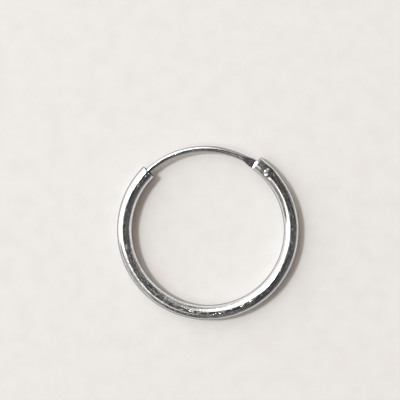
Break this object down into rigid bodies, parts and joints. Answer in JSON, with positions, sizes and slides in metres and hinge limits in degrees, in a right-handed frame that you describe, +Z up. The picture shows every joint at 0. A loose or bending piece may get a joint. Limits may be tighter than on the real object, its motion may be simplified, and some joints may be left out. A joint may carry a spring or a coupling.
{
  "type": "hinged hoop earring",
  "caption": "Polished silver hoop earring: an open round tube closed by a thin hinged ear wire, lying on its side.",
  "frame": {"origin": "centre of the hoop's circle, on the surface that the earring lies on", "axes": "+Z up along the hoop's axis, +Y towards the ear wire, +X towards the side with the hinge"},
  "size_m": [0.024, 0.0232, 0.002],
  "materials": {
    "tube_silver": "polished sterling silver with fine wear scratches",
    "wire_silver": "polished drawn silver wire",
    "rivet_silver": "peened and polished silver"
  },
  "bodies": {
    "hoop": {"hoop_tube": "tube_silver", "hinge_pin": "rivet_silver"},
    "ear_wire": {"ear_wire": "wire_silver"}
  },
  "joints": [
    {"name": "ear_wire_hinge", "type": "hinge", "parent": "hoop", "child": "ear_wire", "pos_m": [0.0078, 0.00776, 0.001], "axis": [0, 0, -1], "range_deg": [0, 80]}
  ]
}
